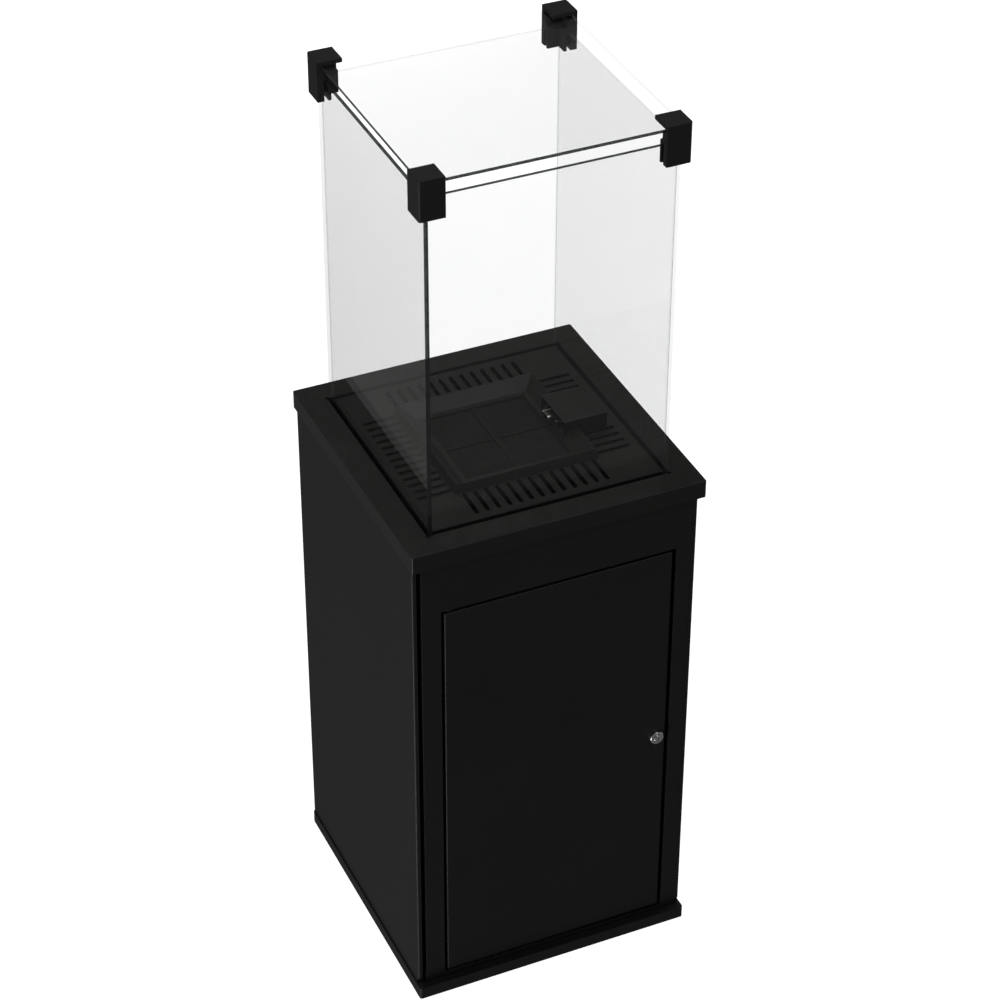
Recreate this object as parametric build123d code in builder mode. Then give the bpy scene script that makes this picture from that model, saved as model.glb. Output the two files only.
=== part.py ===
"""Gas patio heater: a square sheet-steel cabinet, a burner deck and a glass column.

Millimetres, +Z up, the door faces -Y. The origin is the middle of the base, on the ground.
"""
from build123d import *
import os

os.makedirs("parts", exist_ok=True)

# ---- driving dimensions -------------------------------------------------
worktop_half = 216.8        # half the width of the square worktop
base_half = 214.8
body_half = 212.5           # outer faces of the side panels
body_front = -203.0         # front face of the cabinet
body_back = 214.0
base_top = 20.7
cabinet_top = 781.5         # where the worktop lands on the panels
deck_top = 808.3            # worktop and burner tray surface
sheet = 1.2                 # panel sheet
thick_sheet = 1.5           # base, worktop and tray sheet

glass = 5.0                 # pane thickness
glass_half = 177.2          # outer faces of the panes
pane_foot = 790.5
pane_top = 1319.0
roof_half = 180.2
roof_low = 1338.3
column_top = 1349.5         # top of the corner brackets
bracket_half = 187.2
bracket_size = 36.0
bracket_foot = 1291.5

opening_half = 179.2        # hole in the worktop
tray_half = 172.0           # outer size of the burner tray
burner_half = 77.5          # visible burner face
collar_half = 107.5
collar_height = 13.0

door_left, door_right = -170.3, 182.4       # door opening
door_low, door_high = 27.5, 695.2
door_gap = 4.5
lock_side_gap = 6.1
door_depth = 18.0
door_face = body_front - 1.0
hinge_in = 8.0              # hinge axis from the door's left edge and from its face
pin_radius = 3.0
running = 0.05              # radial clearance of a running fit

lock_x, lock_z = 162.0, 365.0
control_z = 665.0
knob_x, piezo_x = -50.0, 50.0
plate_face = -150.0         # front of the control plate
knob_travel = 4.0
button_travel = 6.0
shield_z = 735.0            # underside of the heat shield
pilot_z = deck_top + 8.0


def block(low, high, mode=Mode.ADD):
    """A box between two opposite corners, in the part being built."""
    middle = [(a + b) / 2 for a, b in zip(low, high)]
    with Locations(tuple(middle)):
        Box(*[abs(b - a) for a, b in zip(low, high)], mode=mode)


def square_band(outer, inner, low, high, radius=0.0, mode=Mode.ADD):
    """A square ring of sheet between two half-sizes; inner 0 leaves it whole."""
    with BuildSketch(Plane.XY.offset(low)) as band:
        if radius:
            RectangleRounded(2 * outer, 2 * outer, radius)
        else:
            Rectangle(2 * outer, 2 * outer)
        if inner:
            Rectangle(2 * inner, 2 * inner, mode=Mode.SUBTRACT)
    extrude(band.sketch, amount=high - low, mode=mode)


def rod(start, direction, length, radius, mode=Mode.ADD):
    """A round bar from a point along a direction, in the part being built."""
    with BuildSketch(Plane(origin=start, z_dir=direction)) as section:
        Circle(radius)
    extrude(section.sketch, amount=length, mode=mode)


def finish(part, name):
    """Label a finished piece and write it."""
    part.label = name
    export_step(part, f"parts/{name}.step")


# ---- base -----------------------------------------------------------------
base_radius = 4.0
skirt_foot = 1.0            # the skirt hangs just clear of the ground
foot_x = 175.0
foot_radius = 16.0

with BuildPart() as base_tray:
    square_band(base_half, 0, skirt_foot, base_top, base_radius)
    square_band(base_half - thick_sheet, 0, skirt_foot, base_top - thick_sheet, mode=Mode.SUBTRACT)
    square_band(base_half - thick_sheet, base_half - 14, skirt_foot, skirt_foot + thick_sheet)
finish(base_tray.part, "base_tray")

with BuildPart() as foot_pads:
    with BuildSketch(Plane.XY):
        with GridLocations(2 * foot_x, 2 * foot_x, 2, 2):
            Circle(foot_radius)
    extrude(amount=8)
    chamfer(foot_pads.edges().group_by(Axis.Z)[0], 1)
    with BuildSketch(Plane.XY.offset(8)):
        with GridLocations(2 * foot_x, 2 * foot_x, 2, 2):
            Circle(foot_radius * 0.6)
    extrude(amount=base_top - thick_sheet - 8)
finish(foot_pads.part, "foot_pads")

# ---- side and back panels ---------------------------------------------------
hem = 6.9                   # width of the folded front edge of a side panel
fold_radius = 3.4           # its rounded outer corner
fold_fill = 4.2             # the corner is closed by this much
hem_return = 22.0
hem_trim = 9.0              # the hem stops short of the base
tab = 17.0
flange = 19.5
back_plane = body_back - sheet


def side_panel(side):
    """One side sheet, its hemmed front edge, and its fixing flanges."""
    outer, inner = side * body_half, side * (body_half - sheet)
    hem_x = side * (body_half - hem)
    hem_low = base_top + hem_trim
    return_y = body_front + hem_return
    with BuildPart() as panel:
        block((outer, body_front + fold_fill, base_top), (inner, back_plane, cabinet_top))
        block((outer, body_front, hem_low), (hem_x, body_front + sheet, cabinet_top))
        block((outer, body_front, hem_low), (outer - side * fold_fill, body_front + fold_fill, cabinet_top))
        block((hem_x + side * sheet, body_front, hem_low), (hem_x, return_y, cabinet_top))
        block((hem_x + side * sheet, return_y - sheet, hem_low), (hem_x - side * tab, return_y, cabinet_top))
        block((outer, back_plane - sheet, base_top), (outer - side * flange, back_plane, cabinet_top))
        for low in (base_top, cabinet_top - sheet):
            block((outer, return_y + 2, low), (outer - side * flange, back_plane, low + sheet))
        corner = panel.edges().filter_by(Axis.Z).filter_by(
            lambda edge: (edge.center() - Vector(outer, body_front, edge.center().Z)).length < 0.1)
        fillet(corner, fold_radius)
    return panel.part


left_side_panel = side_panel(-1)
right_side_panel = side_panel(1)

vent_length, vent_width, vent_pitch = 60.0, 6.0, 14.0

with BuildPart() as back_panel:
    block((-body_half, back_plane, base_top), (body_half, body_back, cabinet_top))
    with BuildSketch(Plane.XZ.offset(-body_back)):
        for height in (95.0, 660.0):
            with Locations((0, height)):
                with GridLocations(vent_length + 20, vent_pitch, 4, 5):
                    SlotOverall(vent_length, vent_width)
    extrude(amount=3 * sheet, mode=Mode.SUBTRACT)

# ---- front frame --------------------------------------------------------------
frame_left, frame_right = -199.2, 205.2
jamb_depth = 16.0           # folded edge round the door opening
lip_front = body_front + 20.0
lip_inner = 172.0           # free edge of the lock lip
tab_back = body_front + hem_return - sheet

with BuildPart() as front_frame:
    block((frame_left, body_front, base_top), (frame_right, body_front + sheet, cabinet_top))
    block((door_left, body_front - 1, door_low), (door_right, body_front + 2, door_high), Mode.SUBTRACT)
    block((door_left - sheet, body_front, door_low), (door_left, body_front + jamb_depth, door_high))
    block((door_right, body_front, door_low), (door_right + sheet, lip_front + sheet, door_high))
    block((lip_inner, lip_front, door_low), (door_right + sheet, lip_front + sheet, door_high))
    for low in (door_low - sheet, door_high):
        block((door_left - sheet, body_front, low), (door_right + sheet, body_front + jamb_depth, low + sheet))
    for edge, way in ((frame_left, 1), (frame_right, -1)):
        block((edge, body_front, base_top), (edge + way * sheet, tab_back, cabinet_top))
        block((edge, tab_back - sheet, base_top), (edge + way * tab, tab_back, cabinet_top))
    for low in (base_top, cabinet_top - sheet):
        block((frame_left, body_front, low), (frame_right, body_front + 18, low + sheet))
    hinge_axis = (door_left + door_gap + hinge_in, door_face + hinge_in)
    bush_radius = pin_radius + 2.5
    for low in (door_low, door_high):
        rod((*hinge_axis, low - 2), (0, 0, 1), 4, bush_radius, Mode.SUBTRACT)

# ---- worktop --------------------------------------------------------------------
ledge_inner = 163.0
ledge_low = 786.5
notch_radius = 2.2

with BuildPart() as worktop:
    square_band(worktop_half, opening_half, deck_top - thick_sheet, deck_top, 2.5)
    square_band(worktop_half, worktop_half - thick_sheet, cabinet_top, deck_top, 2.5)
    square_band(worktop_half, worktop_half - 18, cabinet_top, cabinet_top + thick_sheet, 2.5)
    square_band(opening_half + thick_sheet, opening_half, ledge_low, deck_top)
    square_band(opening_half + thick_sheet, ledge_inner, ledge_low, ledge_low + thick_sheet)
    with BuildSketch(Plane.XY.offset(deck_top)):
        with GridLocations(2 * opening_half, 2 * opening_half, 2, 2):
            Circle(notch_radius)
    extrude(amount=-2 * thick_sheet, mode=Mode.SUBTRACT)
    outer_rim = worktop.edges().group_by(Axis.Z)[-1].filter_by(
        lambda edge: max(abs(edge.center().X), abs(edge.center().Y)) > worktop_half - 3)
    fillet(outer_rim, 0.8)
finish(worktop.part, "worktop")

# ---- panel and worktop screws -------------------------------------------------
screw_radius = 2.0
head_radius = 3.8
head_height = 2.2


def screws(places, direction, length):
    """Dome-headed screws: each place is under the head, the shank runs along direction."""
    with BuildPart() as group:
        for place in places:
            plane = Plane(origin=place, z_dir=direction)
            with BuildSketch(plane):
                Circle(screw_radius)
            extrude(amount=length)
            with BuildSketch(plane):
                Circle(head_radius)
            extrude(amount=-head_height)
            crown = group.faces().filter_by(lambda face: abs(face.area - 3.14159 * head_radius ** 2) < 0.5)
            fillet(crown.sort_by(lambda face: (face.center() - Vector(*place)).length)[0].edges(), 1.0)
    return group.part


screw_levels = (60.0, 250.0, 480.0, 740.0)
back_places = [(side * 200.0, body_back, level) for side in (-1, 1) for level in screw_levels]
back_screws = screws(back_places, (0, -1, 0), 8)
with BuildPart() as back_panel_holes:
    for place in back_places:
        rod((place[0], body_back + 1, place[2]), (0, -1, 0), 8, screw_radius)
finish(back_panel.part - back_panel_holes.part, "back_panel")
left_side_panel = left_side_panel - back_panel_holes.part
right_side_panel = right_side_panel - back_panel_holes.part
finish(back_screws, "back_panel_screws")

front_places = [(x, tab_back + sheet, level) for x in (-194.0, 196.0) for level in screw_levels]
front_screws = screws(front_places, (0, -1, 0), 7)
with BuildPart() as front_frame_holes:
    for place in front_places:
        rod((place[0], place[1] + 1, place[2]), (0, -1, 0), 9, screw_radius)
finish(front_frame.part - front_frame_holes.part, "front_frame")
finish(left_side_panel - front_frame_holes.part, "left_side_panel")
finish(right_side_panel - front_frame_holes.part, "right_side_panel")
finish(front_screws, "front_frame_screws")

# ---- heat shield between the burner and the bottle --------------------------
shield_half = body_half - sheet
shield_front = -178.0
shield_back = 205.0

with BuildPart() as heat_shield:
    block((-shield_half, shield_front, shield_z), (shield_half, shield_back, shield_z + sheet))
    for side in (-1, 1):
        block((side * shield_half, shield_front, shield_z), (side * (shield_half - sheet), shield_back, shield_z + 14))
    block((-72, -134, shield_z - 1), (-28, -104, shield_z + 2), Mode.SUBTRACT)
    rod((132, -70, shield_z - 1), (0, 0, 1), 4, 5, Mode.SUBTRACT)
    with BuildSketch(Plane.XY.offset(shield_z - 1)):
        with Locations((-150, 60), (150, 60)):
            with GridLocations(0, 16, 1, 6):
                SlotOverall(60, 6)
    extrude(amount=4, mode=Mode.SUBTRACT)
finish(heat_shield.part, "heat_shield")

# ---- burner tray -------------------------------------------------------------
slot_pitch = 16.1
slot_count = 13
slot_length = 50.0
slot_width = 6.5
slot_middle = 134.0
tray_hole_half = 100.0
cover_front, cover_back = -43.0, 31.0
cover_inner, cover_outer = 84.0, 151.0
cover_height = 24.0

with BuildPart() as burner_tray:
    square_band(tray_half, tray_hole_half, deck_top - thick_sheet, deck_top, 1.5)
    square_band(tray_half, tray_half - thick_sheet, ledge_low + thick_sheet, deck_top, 1.5)
    with BuildSketch(Plane.XY.offset(deck_top)):
        for turn in range(4):
            for number in range(slot_count):
                offset_along = (number - (slot_count - 1) / 2) * slot_pitch
                under_cover = turn == 0 and cover_front - 4 < offset_along < cover_back + 4
                if not under_cover:
                    spot = Vector(slot_middle, offset_along).rotate(Axis.Z, 90 * turn)
                    with Locations(Location((spot.X, spot.Y), 90 * turn)):
                        SlotOverall(slot_length, slot_width)
    extrude(amount=-2 * thick_sheet, mode=Mode.SUBTRACT)
    block((112, -30, deck_top - 3), (141, 24, deck_top + 1), Mode.SUBTRACT)
finish(burner_tray.part, "burner_tray")

# ---- collar round the burner -------------------------------------------------
collar_outline = [
    (collar_half, deck_top),
    (collar_half - 3.6, deck_top + collar_height),
    (collar_half - 4.6, deck_top + collar_height),
    (85.0, deck_top - 2.0),
    (burner_half, deck_top - 2.0),
    (burner_half, deck_top - 3.5),
    (85.6, deck_top - 3.5),
    (102.95, deck_top + 11.0),
    (105.95, deck_top),
]

with BuildPart() as collar_side:
    with BuildSketch(Plane.XZ):
        with BuildLine():
            Polyline(*collar_outline, close=True)
        make_face()
    extrude(amount=collar_half + 5, both=True)
    split(bisect_by=Plane(origin=(0, 0, 0), z_dir=(1, -1, 0)), keep=Keep.TOP)
    split(bisect_by=Plane(origin=(0, 0, 0), z_dir=(1, 1, 0)), keep=Keep.TOP)

with BuildPart() as burner_collar:
    for turn in range(4):
        add(collar_side.part, rotation=(0, 0, 90 * turn))
    block((86, -22, deck_top), (collar_half + 1, 26, deck_top + collar_height + 1), Mode.SUBTRACT)
finish(burner_collar.part, "burner_collar")

# ---- burner: frame, four plaques, plenum, mixer and injector ---------------
frame_top = deck_top - 3.5
frame_low = frame_top - thick_sheet
rib_width = 7.0
groove_width = 2.6
plaque_thick = 12.0
plaque_far = 84.0
box_half = 88.0
box_low = 752.0
mixer_z = 769.0
mixer_radius = 12.0
mixer_mouth = -140.0

with BuildPart() as burner_frame:
    square_band(box_half + 5, burner_half - 0.5, frame_low, frame_top)
    for long_x, long_y in ((burner_half, rib_width / 2), (rib_width / 2, burner_half)):
        block((-long_x, -long_y, frame_low), (long_x, long_y, frame_top))
    for long_x, long_y in ((burner_half - 4, groove_width / 2), (groove_width / 2, burner_half - 4)):
        block((-long_x, -long_y, frame_top - 0.8), (long_x, long_y, frame_top + 1), Mode.SUBTRACT)
finish(burner_frame.part, "burner_frame")

for along_x, word_x in ((-1, "left"), (1, "right")):
    for along_y, word_y in ((-1, "front"), (1, "back")):
        with BuildPart() as plaque:
            near = 0.5
            block((along_x * near, along_y * near, frame_low - plaque_thick),
                  (along_x * plaque_far, along_y * plaque_far, frame_low))
            chamfer(plaque.edges().group_by(Axis.Z)[-1], 0.6)
        finish(plaque.part, f"plaque_{word_y}_{word_x}")

with BuildPart() as burner_box:
    square_band(box_half, box_half - sheet, box_low, frame_low)
    square_band(box_half, 0, box_low, box_low + sheet)
    square_band(box_half + 5, box_half - sheet, frame_low - sheet, frame_low)
    seat = frame_low - plaque_thick
    square_band(box_half - sheet, plaque_far - 6, seat - 2, seat)
    rod((-box_half - 1, 0, mixer_z), (1, 0, 0), 4, mixer_radius, Mode.SUBTRACT)
finish(burner_box.part, "burner_box")

with BuildPart() as mixer_tube:
    with BuildSketch(Plane.XZ):
        with BuildLine():
            Polyline((mixer_mouth, mixer_z + 15), (mixer_mouth + 14, mixer_z + 9.5), (-112, mixer_z + 9.5),
                     (-box_half - 2, mixer_z + mixer_radius), (-30, mixer_z + mixer_radius),
                     (-30, mixer_z + mixer_radius - 1.5), (-box_half - 2, mixer_z + mixer_radius - 1.5),
                     (-112, mixer_z + 8), (mixer_mouth + 14, mixer_z + 8), (mixer_mouth, mixer_z + 13.5), close=True)
        make_face()
    revolve(axis=Axis((0, 0, mixer_z), (1, 0, 0)))
finish(mixer_tube.part, "mixer_tube")

injector_end = -156.0

with BuildPart() as injector:
    with BuildSketch(Plane(origin=(injector_end, 0, mixer_z), z_dir=(1, 0, 0))):
        RegularPolygon(8, 6)
    extrude(amount=8)
    rod((injector_end + 8, 0, mixer_z), (1, 0, 0), 8, 4.5)
    rod((injector_end + 16, 0, mixer_z), (1, 0, 0), 5, 2.5)
    rod((injector_end + 21, 0, mixer_z), (-1, 0, 0), 9, 0.6, Mode.SUBTRACT)
finish(injector.part, "injector")

# ---- igniter cover ---------------------------------------------------------
cover_top = deck_top + cover_height
collar_clear = 0.4

with BuildPart() as igniter_cover:
    block((cover_inner, cover_front, deck_top), (cover_outer, cover_back, cover_top))
    vertical = igniter_cover.edges().filter_by(Axis.Z).group_by(Axis.X)[-1]
    top_edges = igniter_cover.edges().group_by(Axis.Z)[-1].filter_by(lambda edge: edge.center().X > cover_inner + 1)
    fillet(vertical + top_edges, 1.6)
    block((cover_inner - 1, cover_front + sheet, deck_top - 1),
          (cover_outer - sheet, cover_back - sheet, cover_top - sheet), Mode.SUBTRACT)
    with BuildSketch(Plane.XZ.offset(-cover_back - 1)):
        with BuildLine():
            Polyline((cover_inner - 2, deck_top - 1), (cover_inner - 2, deck_top),
                     (collar_half - 4.8, deck_top + collar_height + collar_clear),
                     (collar_half - 3.2, deck_top + collar_height + collar_clear),
                     (collar_half + collar_clear, deck_top), (collar_half + collar_clear, deck_top - 1), close=True)
        make_face()
    extrude(amount=cover_back - cover_front + 2, mode=Mode.SUBTRACT)
finish(igniter_cover.part, "igniter_cover")

# ---- pilot: bracket, hood, electrode and thermocouple ----------------------
pilot_plate = 104.0
electrode_y, thermocouple_y = 16.0, -16.0
hood_radius, electrode_radius, probe_radius = 4.0, 3.5, 2.4

with BuildPart() as pilot_bracket:
    block((pilot_plate, -21, deck_top), (pilot_plate + thick_sheet, 24, deck_top + 16))
    block((pilot_plate, -21, deck_top), (111.5, 24, deck_top + thick_sheet))
    for across, radius in ((0, hood_radius), (electrode_y, electrode_radius), (thermocouple_y, probe_radius)):
        rod((pilot_plate - 1, across, pilot_z), (1, 0, 0), 4, radius, Mode.SUBTRACT)
    fillet(pilot_bracket.edges().filter_by(Axis.X).group_by(Axis.Z)[-1], 4)
finish(pilot_bracket.part, "pilot_bracket")

with BuildPart() as pilot_hood:
    rod((98, 0, pilot_z), (1, 0, 0), 9, hood_radius)
    block((76, -8, pilot_z - 5), (98, 8, pilot_z + 6))
    fillet(pilot_hood.edges().filter_by(Axis.X).group_by(Axis.Z)[-1], 3)
    block((75, -6.8, pilot_z - 6), (96.5, 6.8, pilot_z + 4.6), Mode.SUBTRACT)
    rod((99, 0, pilot_z), (-1, 0, 0), 4, 2.5, Mode.SUBTRACT)
finish(pilot_hood.part, "pilot_hood")

with BuildPart() as spark_electrode:
    rod((94, electrode_y, pilot_z), (1, 0, 0), 34, electrode_radius)
    rod((99, electrode_y, pilot_z), (1, 0, 0), 4.8, electrode_radius + 1.2)
    rod((80, electrode_y, pilot_z), (1, 0, 0), 14, 1.1)
    rod((80, electrode_y, pilot_z), (0, -1, 0), 5, 1.1)
finish(spark_electrode.part, "spark_electrode")

with BuildPart() as thermocouple:
    rod((84, thermocouple_y, pilot_z), (1, 0, 0), 31, probe_radius)
    rod((99, thermocouple_y, pilot_z), (1, 0, 0), 4.8, probe_radius + 1.4)
    fillet(thermocouple.edges().group_by(Axis.X)[0], 1.5)
finish(thermocouple.part, "thermocouple")

# ---- glass column -----------------------------------------------------------
seat_low = ledge_low + thick_sheet

with BuildPart() as glass_seat:
    square_band(opening_half - 0.2, tray_half + 0.2, seat_low, pane_foot)
finish(glass_seat.part, "glass_seat")

between = glass_half - glass - 0.3

for side, word in ((-1, "left"), (1, "right")):
    with BuildPart() as pane:
        block((side * glass_half, -glass_half, pane_foot), (side * (glass_half - glass), glass_half, pane_top))
        chamfer(pane.edges().filter_by(Axis.Y).group_by(Axis.Z)[-1], 0.4)
    finish(pane.part, f"glass_{word}")

for side, word in ((-1, "front"), (1, "back")):
    with BuildPart() as pane:
        block((-between, side * glass_half, pane_foot), (between, side * (glass_half - glass), pane_top))
        chamfer(pane.edges().filter_by(Axis.X).group_by(Axis.Z)[-1], 0.4)
    finish(pane.part, f"glass_{word}")

with BuildPart() as glass_roof:
    square_band(roof_half, 0, roof_low, roof_low + glass, 1.0)
    chamfer(glass_roof.edges().group_by(Axis.Z)[-1], 0.4)
finish(glass_roof.part, "glass_roof")

# ---- corner brackets of the column ----------------------------------------
wall = 9.5                  # outer wall of a bracket
rebate_wall = 6.7           # thinner round the roof pane
pane_slot = 5.8             # slot for a pane
finger = 4.0
seat_wall = 4.0             # seat under the roof pane
pad = 0.5
bridge_low = pane_top + 0.8
bridge_high = 1324.0
seat_top = roof_low - pad
plate_low = roof_low + glass + 0.2


def angle_band(side_x, side_y, near, far, low, high):
    """An L in plan, between two distances in from the bracket's outer faces."""
    for deep_x, deep_y in ((bracket_size, far), (far, bracket_size)):
        block((side_x * (bracket_half - near), side_y * (bracket_half - near), low),
              (side_x * (bracket_half - deep_x), side_y * (bracket_half - deep_y), high))


for side_x, word_x in ((-1, "left"), (1, "right")):
    for side_y, word_y in ((-1, "front"), (1, "back")):
        finger_near = wall + pane_slot
        finger_far = finger_near + finger
        with BuildPart() as bracket:
            angle_band(side_x, side_y, 0, wall, bracket_foot, seat_top)
            angle_band(side_x, side_y, 0, rebate_wall, seat_top, plate_low)
            angle_band(side_x, side_y, wall, wall + seat_wall, bridge_high, seat_top)
            angle_band(side_x, side_y, wall, finger_far, bridge_low, bridge_high)
            angle_band(side_x, side_y, finger_near, finger_far, bracket_foot, bridge_high)
            block((side_x * bracket_half, side_y * bracket_half, plate_low),
                  (side_x * (bracket_half - bracket_size), side_y * (bracket_half - bracket_size), column_top))
            corner = (side_x * bracket_half, side_y * bracket_half)
            outer_edge = bracket.edges().filter_by(Axis.Z).sort_by(
                lambda edge: (edge.center() - Vector(*corner, edge.center().Z)).length)[0]
            fillet(outer_edge, 3.5)
            fillet(bracket.faces().sort_by(Axis.Z)[-1].edges(), 0.8)
        finish(bracket.part, f"bracket_{word_y}_{word_x}")

with BuildPart() as roof_pads:
    for side_x in (-1, 1):
        for side_y in (-1, 1):
            angle_band(side_x, side_y, rebate_wall + 0.7, wall + seat_wall - 0.5, seat_top, roof_low)
finish(roof_pads.part, "roof_pads")

# ---- control plate ------------------------------------------------------------
plate_back = plate_face + sheet
plate_half = 110.0
plate_foot = 625.0
boss_radius = 10.0
barrel_radius = 9.0

with BuildPart() as control_plate:
    block((-plate_half, plate_face, plate_foot), (plate_half, plate_back, shield_z))
    block((-plate_half, plate_face, shield_z - sheet), (plate_half, plate_face + 15, shield_z))
    block((-plate_half, plate_face, plate_foot), (plate_half, plate_face + 10, plate_foot + sheet))
    for side in (-1, 1):
        block((side * plate_half, plate_face, plate_foot), (side * (plate_half - sheet), plate_face + 15, shield_z))
    rod((knob_x, plate_face - 1, control_z), (0, 1, 0), 4, boss_radius, Mode.SUBTRACT)
    rod((piezo_x, plate_face - 1, control_z), (0, 1, 0), 4, barrel_radius, Mode.SUBTRACT)
finish(control_plate.part, "control_plate")

# ---- gas valve, its spindle and its knob ------------------------------------
spindle_radius = 4.0
valve_half = 22.0
valve_back = -106.0
boss_face = plate_face - 2.0
spindle_front = -176.0
spindle_back = -128.0
knob_front, knob_back = -178.0, -158.0
knob_radius = 21.0
collar_front = knob_back + 0.1
collar_back = boss_face - knob_travel - 0.2

with BuildPart() as gas_valve:
    block((knob_x - valve_half, plate_back, control_z - valve_half),
          (knob_x + valve_half, valve_back, control_z + valve_half))
    fillet(gas_valve.edges().filter_by(Axis.Z), 3)
    rod((knob_x, plate_back, control_z), (0, -1, 0), plate_back - boss_face, boss_radius)
    rod((knob_x, boss_face - 1, control_z), (0, 1, 0), 33, spindle_radius + running, Mode.SUBTRACT)
finish(gas_valve.part, "gas_valve")

with BuildPart() as spindle_collar:
    rod((knob_x, collar_front, control_z), (0, 1, 0), collar_back - collar_front, 7.5)
    rod((knob_x, collar_front - 1, control_z), (0, 1, 0), 8, spindle_radius + running, Mode.SUBTRACT)
finish(spindle_collar.part, "spindle_collar")

with BuildPart() as valve_spindle:
    rod((knob_x, spindle_front, control_z), (0, 1, 0), spindle_back - spindle_front, spindle_radius)
    block((knob_x - 5, spindle_front - 1, control_z + 2.6), (knob_x + 5, knob_back - 4, control_z + 6), Mode.SUBTRACT)
    chamfer(valve_spindle.edges().group_by(Axis.Y)[-1], 0.6)
finish(valve_spindle.part, "valve_spindle")

with BuildPart() as control_knob:
    rod((knob_x, knob_front, control_z), (0, 1, 0), knob_back - knob_front, knob_radius)
    fillet(control_knob.edges().group_by(Axis.Y)[0], 2.5)
    for side in (-1, 1):
        block((knob_x + side * 5, knob_front - 1, control_z - 25), (knob_x + side * 25, -168, control_z + 25),
              Mode.SUBTRACT)
    rod((knob_x, -164, control_z), (0, 1, 0), 8, knob_radius - 2.5, Mode.SUBTRACT)
    rod((knob_x, -168, control_z), (0, 1, 0), knob_back + 168, 7.5)
    rod((knob_x, spindle_front, control_z), (0, 1, 0), 30, spindle_radius, Mode.SUBTRACT)
    block((knob_x - 5, spindle_front, control_z + 2.6), (knob_x + 5, knob_back - 4, control_z + 6))
finish(control_knob.part, "control_knob")

with BuildPart() as inlet_fitting:
    inlet_top = control_z - valve_half
    inlet_y = -128.0
    with BuildSketch(Plane.XY.offset(inlet_top - 10)):
        with Locations((knob_x, inlet_y)):
            RegularPolygon(9, 6)
    extrude(amount=10)
    rod((knob_x, inlet_y, inlet_top - 10), (0, 0, -1), 26, 4.5)
    rod((knob_x, inlet_y, inlet_top - 14), (0, 0, -1), 3, 5.5)
    chamfer(inlet_fitting.edges().group_by(Axis.Z)[0], 0.8)
    rod((knob_x, inlet_y, inlet_top - 36), (0, 0, 1), 30, 2.5, Mode.SUBTRACT)
finish(inlet_fitting.part, "inlet_fitting")

# ---- piezo igniter and its button ---------------------------------------------
button_radius = 6.0
button_front = -160.0
button_back = -137.0
bezel_face = plate_face - 3.5

with BuildPart() as piezo_igniter:
    rod((piezo_x, bezel_face, control_z), (0, 1, 0), plate_face - bezel_face, 13)
    fillet(piezo_igniter.edges().group_by(Axis.Y)[0], 1.2)
    rod((piezo_x, plate_face, control_z), (0, 1, 0), 42, barrel_radius)
    rod((piezo_x, plate_face + 42, control_z), (0, 1, 0), 6, 3.5)
    rod((piezo_x, button_back + button_travel + 0.5, control_z), (0, -1, 0), 30, button_radius + running,
        Mode.SUBTRACT)
finish(piezo_igniter.part, "piezo_igniter")

with BuildPart() as igniter_button:
    rod((piezo_x, button_front, control_z), (0, 1, 0), button_back - button_front, button_radius)
    rod((piezo_x, button_front - 3, control_z), (0, 1, 0), 3.2, 8.5)
    fillet(igniter_button.edges().group_by(Axis.Y)[0], 1.2)
finish(igniter_button.part, "igniter_button")


# ---- pipes and leads ---------------------------------------------------------
def bent_rod(points, bend, radius):
    """A round bar along straight runs joined by tangent arcs."""
    with BuildPart() as bar:
        with BuildLine() as route:
            FilletPolyline(*points, radius=bend)
        with BuildSketch(Plane(origin=points[0], z_dir=Vector(*points[1]) - Vector(*points[0]))):
            Circle(radius)
        sweep(path=route.line)
    return bar.part


valve_top = control_z + valve_half
burner_pipe = bent_rod([(knob_x, -125, valve_top), (knob_x, -125, mixer_z), (-180, -125, mixer_z),
                        (-180, 0, mixer_z), (injector_end, 0, mixer_z)], 18, 4)
finish(burner_pipe, "burner_gas_pipe")

pilot_pipe = bent_rod([(-36, -125, valve_top), (-36, -125, 742), (118, -125, 742), (118, 0, 742),
                       (118, 0, pilot_z), (107, 0, pilot_z)], 9, 2)
finish(pilot_pipe, "pilot_gas_pipe")

probe_lead = bent_rod([(-64, -112, valve_top), (-64, -112, 748), (125, -112, 748), (125, thermocouple_y, 748),
                       (125, thermocouple_y, pilot_z), (115, thermocouple_y, pilot_z)], 8, 1.2)
finish(probe_lead, "thermocouple_lead")

spark_lead = bent_rod([(piezo_x, plate_face + 48, control_z), (piezo_x, -70, control_z), (132, -70, control_z),
                       (132, -70, 744), (136, electrode_y, 744), (136, electrode_y, pilot_z),
                       (128, electrode_y, pilot_z)], 7, 1.5)
finish(spark_lead, "ignition_lead")

# ---- door, its hinges and its bumpers ------------------------------------------
panel_left, panel_right = door_left + door_gap, door_right - lock_side_gap
panel_low, panel_high = door_low + door_gap + 1, door_high - door_gap
door_back = door_face + door_depth
return_width = 12.0
lock_hole = 8.5

with BuildPart() as door_panel:
    block((panel_left, door_face, panel_low), (panel_right, door_back, panel_high))
    fillet(door_panel.faces().sort_by(Axis.Y)[0].edges(), 2.0)
    block((panel_left + sheet, door_face + sheet, panel_low + sheet),
          (panel_right - sheet, door_back - sheet, panel_high - sheet), Mode.SUBTRACT)
    block((panel_left + return_width, door_back - 2 * sheet, panel_low + return_width),
          (panel_right - return_width, door_back + 1, panel_high - return_width), Mode.SUBTRACT)
    rod((lock_x, door_face - 1, lock_z), (0, 1, 0), 4, lock_hole, Mode.SUBTRACT)
    rod((lock_x, door_back - 3 * sheet, lock_z), (0, 1, 0), 5, 15, Mode.SUBTRACT)
    for low in (panel_low, panel_high):
        rod((*hinge_axis, low - 3), (0, 0, 1), 6, pin_radius, Mode.SUBTRACT)
finish(door_panel.part, "door_panel")

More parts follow.
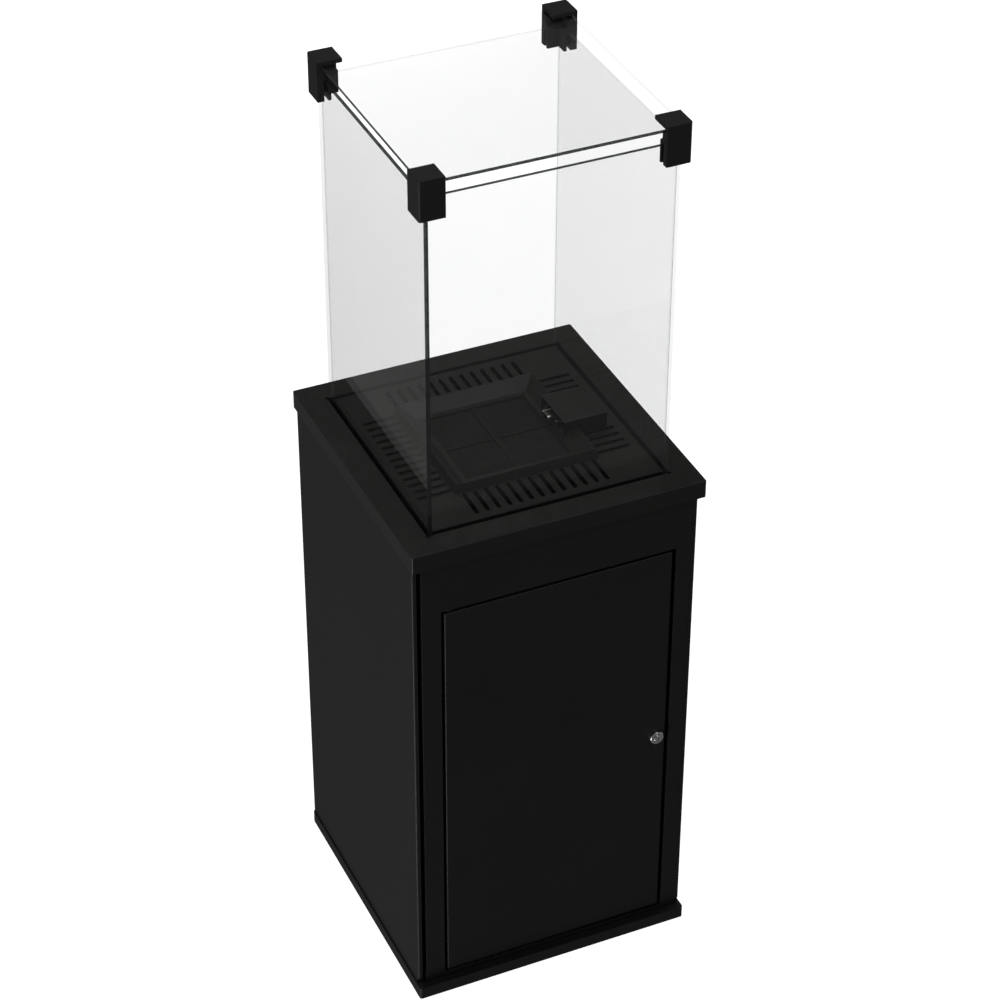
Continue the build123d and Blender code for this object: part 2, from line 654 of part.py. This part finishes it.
pin_inside = 14.0
for word, low, high, level in (("top", panel_high - pin_inside, door_high + 4, door_high),
                               ("bottom", door_low - 4, panel_low + pin_inside, door_low - sheet)):
    with BuildPart() as hinge_pin:
        rod((*hinge_axis, low), (0, 0, 1), high - low, pin_radius)
        chamfer(hinge_pin.edges().group_by(Axis.Z)[0] + hinge_pin.edges().group_by(Axis.Z)[-1], 0.5)
    finish(hinge_pin.part, f"hinge_pin_{word}")
    flange_face = level - 1.2 if word == "top" else level + sheet
    with BuildPart() as hinge_bush:
        rod((*hinge_axis, level), (0, 0, 1), sheet, bush_radius)
        rod((*hinge_axis, flange_face), (0, 0, 1), 1.2, bush_radius + 2)
        rod((*hinge_axis, level - 3), (0, 0, 1), 8, pin_radius + running, Mode.SUBTRACT)
    finish(hinge_bush.part, f"hinge_bush_{word}")

bumper_x = lip_inner + 2.15
with BuildPart() as door_bumpers:
    for level in (120.0, 610.0):
        rod((bumper_x, lip_front, level), (0, -1, 0), lip_front - door_back - 0.2, 2.0)
finish(door_bumpers.part, "door_bumpers")

# ---- cam lock ---------------------------------------------------------------------
plug_radius = 6.0
housing_back = -182.5
cam_thick = 2.0

with BuildPart() as lock_housing:
    rod((lock_x, door_face, lock_z), (0, -1, 0), 5, 10.5)
    fillet(lock_housing.edges().group_by(Axis.Y)[0], 2)
    rod((lock_x, door_face, lock_z), (0, 1, 0), housing_back - door_face, lock_hole)
    rod((lock_x, door_face - 6, lock_z), (0, 1, 0), 30, plug_radius + running, Mode.SUBTRACT)
finish(lock_housing.part, "lock_housing")

with BuildPart() as lock_nut:
    with BuildSketch(Plane(origin=(lock_x, door_face + sheet, lock_z), z_dir=(0, 1, 0))):
        RegularPolygon(13, 6)
        Circle(lock_hole, mode=Mode.SUBTRACT)
    extrude(amount=5)
finish(lock_nut.part, "lock_nut")

with BuildPart() as lock_plug:
    rod((lock_x, door_face - 7.5, lock_z), (0, 1, 0), housing_back - door_face + 8, plug_radius)
    fillet(lock_plug.edges().group_by(Axis.Y)[0], 1)
    rod((lock_x, housing_back + 0.5, lock_z), (0, 1, 0), cam_thick + 0.5, 3.2)
    block((lock_x - 0.7, door_face - 8, lock_z - 4), (lock_x + 0.7, door_face - 3.5, lock_z + 4), Mode.SUBTRACT)
finish(lock_plug.part, "lock_plug")

cam_front = housing_back + 1.0

with BuildPart() as lock_cam:
    with BuildSketch(Plane(origin=(lock_x, cam_front, lock_z), x_dir=(1, 0, 0), z_dir=(0, 1, 0))):
        with Locations((0, 8)):
            SlotOverall(30, 14, rotation=90)
        Circle(3.2, mode=Mode.SUBTRACT)
    extrude(amount=cam_thick)
finish(lock_cam.part, "lock_cam")

with BuildPart() as cam_screw:
    rod((lock_x, cam_front + cam_thick + 0.05, lock_z), (0, 1, 0), 2.5, 5)
    chamfer(cam_screw.edges().group_by(Axis.Y)[-1], 0.8)
finish(cam_screw.part, "cam_screw")
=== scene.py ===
# Outdoor gas heater: cabinet, burner deck and glass column. Run with: blender --background --python scene.py
import math

import bpy
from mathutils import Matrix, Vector


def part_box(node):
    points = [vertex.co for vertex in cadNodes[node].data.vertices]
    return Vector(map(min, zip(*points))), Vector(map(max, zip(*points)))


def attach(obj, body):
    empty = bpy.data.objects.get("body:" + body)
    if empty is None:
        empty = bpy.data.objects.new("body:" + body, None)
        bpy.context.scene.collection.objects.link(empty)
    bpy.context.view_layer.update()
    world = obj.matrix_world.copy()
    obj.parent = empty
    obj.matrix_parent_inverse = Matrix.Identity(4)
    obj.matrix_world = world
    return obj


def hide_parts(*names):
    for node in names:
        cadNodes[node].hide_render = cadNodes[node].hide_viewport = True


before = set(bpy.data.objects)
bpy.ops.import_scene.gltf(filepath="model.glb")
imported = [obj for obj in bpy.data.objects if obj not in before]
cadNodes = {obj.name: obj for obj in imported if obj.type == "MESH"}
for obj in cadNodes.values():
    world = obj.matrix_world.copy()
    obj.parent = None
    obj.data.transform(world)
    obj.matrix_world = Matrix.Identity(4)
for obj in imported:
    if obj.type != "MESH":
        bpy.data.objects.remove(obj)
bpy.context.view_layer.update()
print("frame loaded,", len(cadNodes), "parts")

cameraSetup = {
    "place": (-1.4081, -3.1295, 3.1691),
    "aim": (0.0, -0.0161, 0.7078),
    "lens": 108.4,
    "roll": 0.18,  # degrees
}
cameraData = bpy.data.cameras.new("camera")
cameraData.lens = cameraSetup["lens"]
cameraData.sensor_width = 36.0
cameraData.clip_start, cameraData.clip_end = 0.05, 120.0
camera = bpy.data.objects.new("camera", cameraData)
bpy.context.scene.collection.objects.link(camera)
lookAlong = Vector(cameraSetup["aim"]) - Vector(cameraSetup["place"])
camera.location = cameraSetup["place"]
camera.rotation_euler = lookAlong.to_track_quat("-Z", "Y").to_euler()
camera.rotation_euler.rotate_axis("Z", math.radians(cameraSetup["roll"]))
bpy.context.scene.camera = camera
print("camera placed")


# node helpers: each adds one step to a finish and gives back its output
def startFinish(name, look):
    finish = bpy.data.materials.new(name)
    finish.use_nodes = True
    tree = finish.node_tree
    shader = tree.nodes["Principled BSDF"]
    for socket, value in look.items():
        if socket in shader.inputs:
            shader.inputs[socket].default_value = (*value, 1.0) if isinstance(value, tuple) else value
    return finish, tree, shader


def objectPlace(tree, stretch=(1, 1, 1), turn=(0, 0, 0)):
    place = tree.nodes.new("ShaderNodeTexCoord")
    mapping = tree.nodes.new("ShaderNodeMapping")
    mapping.inputs["Scale"].default_value = stretch
    mapping.inputs["Rotation"].default_value = turn
    tree.links.new(place.outputs["Object"], mapping.inputs["Vector"])
    return mapping.outputs["Vector"]


def cloudy(tree, place, scale, detail=3.0, roughness=0.55):
    noise = tree.nodes.new("ShaderNodeTexNoise")
    noise.inputs["Scale"].default_value = scale
    noise.inputs["Detail"].default_value = detail
    noise.inputs["Roughness"].default_value = roughness
    tree.links.new(place, noise.inputs["Vector"])
    return noise.outputs["Fac"]


def cells(tree, place, scale):
    voronoi = tree.nodes.new("ShaderNodeTexVoronoi")
    voronoi.feature = "F1"
    voronoi.inputs["Scale"].default_value = scale
    tree.links.new(place, voronoi.inputs["Vector"])
    return voronoi.outputs["Color"]


def spread(tree, source, fromLow, fromHigh, toLow, toHigh):
    step = tree.nodes.new("ShaderNodeMapRange")
    step.inputs["From Min"].default_value = fromLow
    step.inputs["From Max"].default_value = fromHigh
    step.inputs["To Min"].default_value = toLow
    step.inputs["To Max"].default_value = toHigh
    tree.links.new(source, step.inputs["Value"])
    return step.outputs["Result"]


def twoColours(tree, amount, first, second):
    mix = tree.nodes.new("ShaderNodeMix")
    mix.data_type = "RGBA"
    tree.links.new(amount, mix.inputs["Factor"])
    for socket, colour in ((mix.inputs[6], first), (mix.inputs[7], second)):
        if isinstance(colour, tuple):
            socket.default_value = (*colour, 1.0)
        else:
            tree.links.new(colour, socket)
    return mix.outputs[2]


def calculate(tree, operation, first, second=None):
    step = tree.nodes.new("ShaderNodeMath")
    step.operation = operation
    for socket, value in zip(step.inputs, (first, second)):
        if isinstance(value, (int, float)):
            socket.default_value = value
        elif value is not None:
            tree.links.new(value, socket)
    return step.outputs["Value"]


def raised(tree, shader, height, distance, strength=1.0, under=None):
    bump = tree.nodes.new("ShaderNodeBump")
    bump.inputs["Distance"].default_value = distance
    bump.inputs["Strength"].default_value = strength
    tree.links.new(height, bump.inputs["Height"])
    if under is not None:
        tree.links.new(under, bump.inputs["Normal"])
    tree.links.new(bump.outputs["Normal"], shader.inputs["Normal"])
    return bump.outputs["Normal"]


# finishes
powderLooks = {
    "powder_coat": {"dark": (0.0076, 0.0074, 0.0073), "light": (0.0126, 0.0121, 0.0119), "smooth": 0.40, "dull": 0.54,
                    "Specular IOR Level": 0.34, "pebble": 0.00022, "dust": 0.05},
    "powder_coat_top": {"dark": (0.0086, 0.0081, 0.0077), "light": (0.0138, 0.0131, 0.0125), "smooth": 0.32,
                        "dull": 0.45, "Specular IOR Level": 0.38, "pebble": 0.00018, "dust": 0.09},
    "bracket_coat": {"dark": (0.0080, 0.0076, 0.0073), "light": (0.0120, 0.0114, 0.0110), "smooth": 0.52, "dull": 0.62,
                     "Specular IOR Level": 0.40, "pebble": 0.00016, "dust": 0.05},
    "burner_black": {"dark": (0.0062, 0.0060, 0.0060), "light": (0.0108, 0.0103, 0.0099), "smooth": 0.46, "dull": 0.66,
                     "Specular IOR Level": 0.36, "pebble": 0.00012, "dust": 0.03},
}


def powderFinish(name, look):
    # baked powder: pebbled skin, uneven sheen, a breath of dust on what faces up
    finish, tree, shader = startFinish(name, look)
    place = objectPlace(tree)
    broad = spread(tree, cloudy(tree, place, 5.5, 4.0), 0.32, 0.70, 0.0, 1.0)
    mottled = spread(tree, cloudy(tree, place, 260.0, 2.0), 0.35, 0.65, 0.0, 1.0)
    blend = calculate(tree, "ADD", calculate(tree, "MULTIPLY", broad, 0.7), calculate(tree, "MULTIPLY", mottled, 0.3))
    specks = spread(tree, cloudy(tree, place, 430.0, 1.0, 0.4), 0.36, 0.64, 0.0, 1.0)
    tones = calculate(tree, "ADD", calculate(tree, "MULTIPLY", blend, 0.6), calculate(tree, "MULTIPLY", specks, 0.4))
    paint = twoColours(tree, tones, look["dark"], look["light"])
    facing = tree.nodes.new("ShaderNodeNewGeometry")
    split = tree.nodes.new("ShaderNodeSeparateXYZ")
    tree.links.new(facing.outputs["Normal"], split.inputs["Vector"])
    upward = spread(tree, split.outputs["Z"], 0.55, 1.0, 0.0, look["dust"])
    patches = spread(tree, cloudy(tree, place, 38.0, 5.0, 0.65), 0.38, 0.72, 0.15, 1.0)
    settled = calculate(tree, "MULTIPLY", upward, patches)
    tree.links.new(twoColours(tree, settled, paint, (0.085, 0.078, 0.070)), shader.inputs["Base Color"])
    tree.links.new(spread(tree, blend, 0.0, 1.0, look["smooth"], look["dull"]), shader.inputs["Roughness"])
    pebbles = raised(tree, shader, cloudy(tree, place, 950.0, 1.5, 0.5), look["pebble"])
    raised(tree, shader, cloudy(tree, place, 190.0, 2.0), 0.00018, 0.5, pebbles)
    return finish


metalLooks = {
    "galvanised": {"first": (0.20, 0.20, 0.205), "second": (0.30, 0.30, 0.305), "Metallic": 1.0, "smooth": 0.34,
                   "dull": 0.52, "spangle": 95.0, "scratch": 0.00003},
    "scaled_steel": {"first": (0.030, 0.026, 0.024), "second": (0.070, 0.062, 0.056), "Metallic": 1.0,
                     "smooth": 0.46, "dull": 0.64, "spangle": 0.0, "scratch": 0.00004},
    "stainless": {"first": (0.50, 0.49, 0.47), "second": (0.66, 0.65, 0.63), "Metallic": 1.0, "smooth": 0.20,
                  "dull": 0.36, "spangle": 0.0, "scratch": 0.00004},
    "zinc": {"first": (0.55, 0.56, 0.58), "second": (0.70, 0.70, 0.71), "Metallic": 1.0, "smooth": 0.22, "dull": 0.36,
             "spangle": 0.0, "scratch": 0.00002},
    "brass": {"first": (0.60, 0.42, 0.17), "second": (0.76, 0.56, 0.26), "Metallic": 1.0, "smooth": 0.20, "dull": 0.36,
              "spangle": 0.0, "scratch": 0.00002},
    "tube_metal": {"first": (0.62, 0.62, 0.61), "second": (0.77, 0.77, 0.76), "Metallic": 1.0, "smooth": 0.28,
                   "dull": 0.44, "spangle": 0.0, "scratch": 0.00003},
    "chrome": {"first": (0.66, 0.67, 0.69), "second": (0.76, 0.77, 0.79), "Metallic": 1.0, "smooth": 0.06, "dull": 0.16,
               "spangle": 0.0, "scratch": 0.00001},
    "black_screws": {"first": (0.012, 0.012, 0.012), "second": (0.035, 0.034, 0.033), "Metallic": 0.6, "smooth": 0.28,
                     "dull": 0.44, "spangle": 0.0, "scratch": 0.00002},
}


def metalFinish(name, look):
    finish, tree, shader = startFinish(name, look)
    place = objectPlace(tree)
    cloud = cloudy(tree, place, 45.0, 4.0)
    streaks = cloudy(tree, objectPlace(tree, (1.0, 1.0, 0.04)), 900.0, 2.0)
    amount = spread(tree, cloud, 0.35, 0.65, 0.0, 1.0)
    if look["spangle"]:
        flakes = cells(tree, place, look["spangle"])
        grey = tree.nodes.new("ShaderNodeRGBToBW")
        tree.links.new(flakes, grey.inputs["Color"])
        amount = calculate(tree, "ADD", calculate(tree, "MULTIPLY", amount, 0.35),
                           calculate(tree, "MULTIPLY", grey.outputs["Val"], 0.65))
    tree.links.new(twoColours(tree, amount, look["first"], look["second"]), shader.inputs["Base Color"])
    sheen = calculate(tree, "ADD", calculate(tree, "MULTIPLY", amount, 0.5), calculate(tree, "MULTIPLY", streaks, 0.5))
    tree.links.new(spread(tree, sheen, 0.2, 0.8, look["smooth"], look["dull"]), shader.inputs["Roughness"])
    raised(tree, shader, streaks, look["scratch"])
    return finish


softLooks = {
    "silicone_red": {"first": (0.17, 0.022, 0.012), "second": (0.24, 0.040, 0.022), "smooth": 0.46, "dull": 0.60,
                     "grain": 420.0, "depth": 0.00005, "Specular IOR Level": 0.45},
    "silicone_black": {"first": (0.010, 0.010, 0.010), "second": (0.020, 0.020, 0.020), "smooth": 0.50, "dull": 0.66,
                       "grain": 500.0, "depth": 0.00005, "Specular IOR Level": 0.40},
    "rubber": {"first": (0.012, 0.012, 0.012), "second": (0.026, 0.025, 0.024), "smooth": 0.66, "dull": 0.82,
               "grain": 600.0, "depth": 0.00010, "Specular IOR Level": 0.35},
    "nylon": {"first": (0.58, 0.56, 0.50), "second": (0.68, 0.66, 0.60), "smooth": 0.38, "dull": 0.50, "grain": 350.0,
              "depth": 0.00004, "Specular IOR Level": 0.45},
    "black_plastic": {"first": (0.012, 0.012, 0.012), "second": (0.021, 0.021, 0.022), "smooth": 0.34, "dull": 0.48,
                      "grain": 800.0, "depth": 0.00008, "Specular IOR Level": 0.45},
    "red_plastic": {"first": (0.34, 0.020, 0.012), "second": (0.42, 0.032, 0.018), "smooth": 0.28, "dull": 0.38,
                    "grain": 500.0, "depth": 0.00004, "Specular IOR Level": 0.5},
    "ceramic": {"first": (0.60, 0.57, 0.50), "second": (0.72, 0.69, 0.63), "smooth": 0.30, "dull": 0.48, "grain": 300.0,
                "depth": 0.00004, "Specular IOR Level": 0.5},
}


def softFinish(name, look):
    finish, tree, shader = startFinish(name, look)
    place = objectPlace(tree)
    cloud = spread(tree, cloudy(tree, place, 60.0, 4.0), 0.33, 0.67, 0.0, 1.0)
    tree.links.new(twoColours(tree, cloud, look["first"], look["second"]), shader.inputs["Base Color"])
    grain = cloudy(tree, place, look["grain"], 3.0)
    tree.links.new(spread(tree, grain, 0.3, 0.7, look["smooth"], look["dull"]), shader.inputs["Roughness"])
    raised(tree, shader, grain, look["depth"])
    return finish


plaqueLook = {"cold": (0.0160, 0.0155, 0.0151), "burnt": (0.0215, 0.0207, 0.0200), "Roughness": 0.78,
              "Specular IOR Level": 0.3}


def plaqueFinish():
    finish, tree, shader = startFinish("burner_plaque", plaqueLook)
    place = objectPlace(tree)
    patch = spread(tree, cloudy(tree, place, 55.0, 5.0), 0.30, 0.70, 0.0, 1.0)
    tree.links.new(twoColours(tree, patch, plaqueLook["cold"], plaqueLook["burnt"]), shader.inputs["Base Color"])
    raised(tree, shader, cloudy(tree, place, 1400.0, 3.0), 0.00015)
    return finish


paneLook = {"Base Color": (0.93, 0.93, 0.93), "Metallic": 1.0, "Roughness": 0.0, "tint": (0.978, 0.980, 0.979),
            "leastMirror": 0.035, "film": 0.006}
# the two edge looks are a shaded and a lit copy of the glass: the dark one is painted shade on the pane edges, the pale
# one a painted lighter edge
paneEdgePaintedShadeLook = {"Base Color": (0.030, 0.034, 0.033), "Roughness": 0.12, "tint": (0.22, 0.24, 0.235),
                "leastMirror": 0.80, "film": 0.0}
paneEdgePaintedLightLook = {"Base Color": (0.60, 0.61, 0.61), "Roughness": 0.2, "tint": (0.91, 0.92, 0.915),
                     "leastMirror": 0.05, "film": 0.0}


# clear float glass, thin enough to bend nothing: see-through face on, a mirror at a glance, with faint smears
def glassFinish(name, look):
    finish, tree, shader = startFinish(name, look)
    place = objectPlace(tree)
    smears = cloudy(tree, place, 16.0, 5.0, 0.62)
    clear = tree.nodes.new("ShaderNodeBsdfTransparent")
    clear.inputs["Color"].default_value = (*look["tint"], 1)
    glance = tree.nodes.new("ShaderNodeLayerWeight")
    glance.inputs["Blend"].default_value = 0.5
    steep = calculate(tree, "POWER", glance.outputs["Facing"], 5.0)
    mirror = spread(tree, steep, 0.0, 1.0, look["leastMirror"], 1.0)
    film = tree.nodes.new("ShaderNodeBsdfDiffuse")
    film.inputs["Color"].default_value = (0.60, 0.59, 0.58, 1)
    dusty = tree.nodes.new("ShaderNodeMixShader")
    tree.links.new(spread(tree, smears, 0.40, 0.75, 0.0, look["film"]), dusty.inputs["Fac"])
    tree.links.new(clear.outputs["BSDF"], dusty.inputs[1])
    tree.links.new(film.outputs["BSDF"], dusty.inputs[2])
    sheet = tree.nodes.new("ShaderNodeMixShader")
    tree.links.new(mirror, sheet.inputs["Fac"])
    tree.links.new(dusty.outputs["Shader"], sheet.inputs[1])
    tree.links.new(shader.outputs["BSDF"], sheet.inputs[2])
    tree.links.new(sheet.outputs["Shader"], tree.nodes["Material Output"].inputs["Surface"])
    return finish


finishes = {name: powderFinish(name, look) for name, look in powderLooks.items()}
finishes.update({name: metalFinish(name, look) for name, look in metalLooks.items()})
finishes.update({name: softFinish(name, look) for name, look in softLooks.items()})
finishes["burner_plaque"] = plaqueFinish()
finishes["pane"] = glassFinish("pane", paneLook)
# pane edge finishes: painted shade (dark edges) and painted light (pale edges), copies of the same glass
finishes["paneEdge"] = glassFinish("paneEdge", paneEdgePaintedShadeLook)
finishes["paneEdgeLight"] = glassFinish("paneEdgeLight", paneEdgePaintedLightLook)
print("finishes made:", len(finishes))

# the parts that keep their own shape: eased edges and their finish
# steel near the flame has scaled dark, whatever its slot says
heatTinted = {"burner_box": "scaled_steel", "heat_shield": "scaled_steel", "mixer_tube": "scaled_steel"}
easing = {
    "powder_coat": 0.00035,
    "powder_coat_top": 0.00035,
    "bracket_coat": 0.0012,
    "burner_black": 0.00025,
    "galvanised": 0.0002,
    "stainless": 0.0002,
    "black_plastic": 0.0003,
}
edgeSetup = {"weld": 0.000002, "segments": 2, "moulded": 3, "angle": 35}
for name, part in sorted(cadNodes.items()):
    slotName = part.material_slots[0].material.name.split(".")[0]
    part.material_slots[0].material = finishes[heatTinted.get(name, slotName)]
    if slotName in easing:
        weld = part.modifiers.new("weld", "WELD")
        weld.merge_threshold = edgeSetup["weld"]
        bevel = part.modifiers.new("edge", "BEVEL")
        bevel.width = easing[slotName]
        bevel.segments = edgeSetup["moulded"] if slotName == "bracket_coat" else edgeSetup["segments"]
        bevel.limit_method = "ANGLE"
        bevel.angle_limit = math.radians(edgeSetup["angle"])
        bevel.use_clamp_overlap = True
        smooth = part.modifiers.new("normals", "WEIGHTED_NORMAL")
        smooth.keep_sharp = True
print("parts finished")


# new pieces
def startEditing(piece):
    bpy.ops.object.select_all(action="DESELECT")
    bpy.context.view_layer.objects.active = piece
    piece.select_set(True)
    bpy.ops.object.mode_set(mode="EDIT")


def stopEditing():
    bpy.ops.object.mode_set(mode="OBJECT")


def pickFaces(piece, wanted):
    bpy.ops.mesh.select_mode(type="FACE")
    bpy.ops.mesh.select_all(action="DESELECT")
    bpy.ops.object.mode_set(mode="OBJECT")
    for face in piece.data.polygons:
        face.select = wanted(face.center, face.normal)
    bpy.ops.object.mode_set(mode="EDIT")


def boxPiece(name, low, high):
    middle, size = (low + high) / 2, high - low
    bpy.ops.object.select_all(action="DESELECT")
    bpy.ops.mesh.primitive_cube_add(size=1.0, location=middle, scale=size)
    piece = bpy.context.object
    piece.name = name
    bpy.ops.object.transform_apply(location=True, rotation=True, scale=True)
    return piece


paneSetup = {"arris": 0.0007, "segments": 2, "shaded": ("left", "front", "roof")}
for side in ("left", "right", "front", "back", "roof"):
    node = "glass_" + side
    low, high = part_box(node)
    size = Vector(high) - Vector(low)
    thin = min(range(3), key=lambda axis: size[axis])
    pane = boxPiece("pane_" + side, Vector(low), Vector(high))
    startEditing(pane)
    bpy.ops.mesh.select_all(action="SELECT")
    bpy.ops.mesh.bevel(offset=paneSetup["arris"], segments=paneSetup["segments"], profile=0.5)
    pickFaces(pane, lambda centre, normal: abs(normal[thin]) < 0.99)
    stopEditing()
    pane.data.materials.append(finishes["pane"])
    pane.data.materials.append(finishes["paneEdge"])
    pane.data.materials.append(finishes["paneEdgeLight"])
    # edge faces turned left-front or up on the left, front and roof panes get the dark painted-shade edge finish; every
    # other edge gets the pale painted-light edge finish
    for face in pane.data.polygons:
        if face.select:
            paintedShadeFacing = face.normal.x + face.normal.y < -0.5 or (face.normal.z > 0.5 and side != "roof")
            face.material_index = 1 if paintedShadeFacing and side in paneSetup["shaded"] else 2
    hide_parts(node)
    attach(pane, "cabinet")
print("panes made")

plaqueSetup = {"holes": 28, "rim": 0.24, "depth": 0.0007, "border": 0.0011}
for place in ("front_left", "front_right", "back_left", "back_right"):
    node = "plaque_" + place
    low, high = (Vector(corner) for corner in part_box(node))
    size = high - low
    centre = ((low.x + high.x) / 2, (low.y + high.y) / 2, high.z)
    drilled = (size.x - 2 * plaqueSetup["border"], size.y - 2 * plaqueSetup["border"])
    pitch = drilled[0] / plaqueSetup["holes"]
    bpy.ops.object.select_all(action="DESELECT")
    bpy.ops.mesh.primitive_grid_add(x_subdivisions=plaqueSetup["holes"], y_subdivisions=plaqueSetup["holes"],
                                    size=1.0, location=centre)
    plaque = bpy.context.object
    plaque.name = "perforated_" + node
    plaque.scale = (pitch * plaqueSetup["holes"], drilled[1], 1.0)
    bpy.ops.object.transform_apply(location=True, rotation=True, scale=True)
    startEditing(plaque)
    bpy.ops.mesh.select_mode(type="EDGE")
    bpy.ops.mesh.select_all(action="DESELECT")
    bpy.ops.mesh.select_non_manifold(use_wire=False, use_boundary=True, use_multi_face=False,
                                     use_non_contiguous=False, use_verts=False)
    bpy.ops.mesh.extrude_edges_move()
    bpy.ops.transform.resize(value=(size.x / drilled[0], size.y / drilled[1], 1), center_override=centre)
    bpy.ops.mesh.extrude_edges_move()
    bpy.ops.transform.translate(value=(0, 0, low.z - high.z))
    bpy.ops.mesh.edge_face_add()
    bpy.ops.mesh.select_all(action="SELECT")
    bpy.ops.mesh.normals_make_consistent(inside=False)
    edge = plaqueSetup["border"] * 1.02
    pickFaces(plaque, lambda middle, normal: normal.z > 0.9
              and low.x + edge < middle.x < high.x - edge and low.y + edge < middle.y < high.y - edge)
    bpy.ops.mesh.inset(thickness=pitch * plaqueSetup["rim"], use_individual=True)
    bpy.ops.transform.translate(value=(0, 0, -plaqueSetup["depth"]))
    stopEditing()
    plaque.data.materials.append(finishes["burner_plaque"])
    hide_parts(node)
    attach(plaque, "cabinet")
print("plaques perforated")

# floor, air and light
floorSetup = {"radius": 40.0, "glow": 1.06, "Base Color": (0.30, 0.30, 0.30), "Roughness": 0.9,
              "Specular IOR Level": 0.1}
bpy.ops.object.select_all(action="DESELECT")
bpy.ops.mesh.primitive_circle_add(vertices=96, radius=floorSetup["radius"], fill_type="NGON", location=(0, 0, -0.0004))
floor = bpy.context.object
floor.name = "floor"
floorFinish, _, floorShader = startFinish("floorFinish", floorSetup)
floorShader.inputs["Emission Color"].default_value = (1, 1, 1, 1)
floorShader.inputs["Emission Strength"].default_value = floorSetup["glow"]
floor.data.materials.append(floorFinish)
floor.visible_diffuse = False
floor.visible_glossy = False
floor.visible_shadow = False
floor.visible_transmission = False

skySetup = {"seen": 1.25, "light": 0.12}
bpy.context.scene.view_settings.view_transform = "Standard"
world = bpy.data.worlds.new("studio")
bpy.context.scene.world = world
world.use_nodes = True
sky = world.node_tree
seen = sky.nodes["Background"]
seen.inputs["Color"].default_value = (1, 1, 1, 1)
seen.inputs["Strength"].default_value = skySetup["seen"]
lit = sky.nodes.new("ShaderNodeBackground")
lit.inputs["Color"].default_value = (1, 0.985, 0.97, 1)
lit.inputs["Strength"].default_value = skySetup["light"]
path = sky.nodes.new("ShaderNodeLightPath")
bounced = calculate(sky, "ADD", path.outputs["Diffuse Depth"], path.outputs["Glossy Depth"])
straight = calculate(sky, "LESS_THAN", bounced, 0.5)
either = sky.nodes.new("ShaderNodeMixShader")
sky.links.new(straight, either.inputs["Fac"])
sky.links.new(lit.outputs["Background"], either.inputs[1])
sky.links.new(seen.outputs["Background"], either.inputs[2])
sky.links.new(either.outputs["Shader"], sky.nodes["World Output"].inputs["Surface"])

lamps = {
    "leftSoftbox": {"place": (-3.0, 0.2, 0.5), "aim": (0, 0, 0.35), "width": 1.8, "height": 1.2, "power": 12},
    "topSoftbox": {"place": (-0.4, 0.6, 3.6), "aim": (0, 0, 0.8), "width": 2.2, "height": 2.2, "power": 18},
    "frontHigh": {"place": (1.0, -1.9, 3.2), "aim": (0, 0, 0.7), "width": 1.0, "height": 1.0, "power": 12},
    "rightLow": {"place": (2.6, 0.5, 0.5), "aim": (0, 0, 0.4), "width": 1.2, "height": 1.2, "power": 12},
    "behind": {"place": (0.8, 3.0, 0.5), "aim": (0, 0, 0.4), "width": 1.4, "height": 1.0, "power": 12},
    "lowLeft": {"place": (-2.2, -1.1, -0.8), "aim": (0, -0.1, 0.4), "width": 0.5, "height": 1.4, "power": 24},
}
for name, lamp in lamps.items():
    data = bpy.data.lights.new(name, "AREA")
    data.shape = "RECTANGLE"
    data.size, data.size_y = lamp["width"], lamp["height"]
    data.energy = lamp["power"]
    light = bpy.data.objects.new(name, data)
    light.location = lamp["place"]
    light.rotation_euler = (Vector(lamp["aim"]) - Vector(lamp["place"])).to_track_quat("-Z", "Y").to_euler()
    bpy.context.scene.collection.objects.link(light)
print("light set")

bpy.context.view_layer.update()
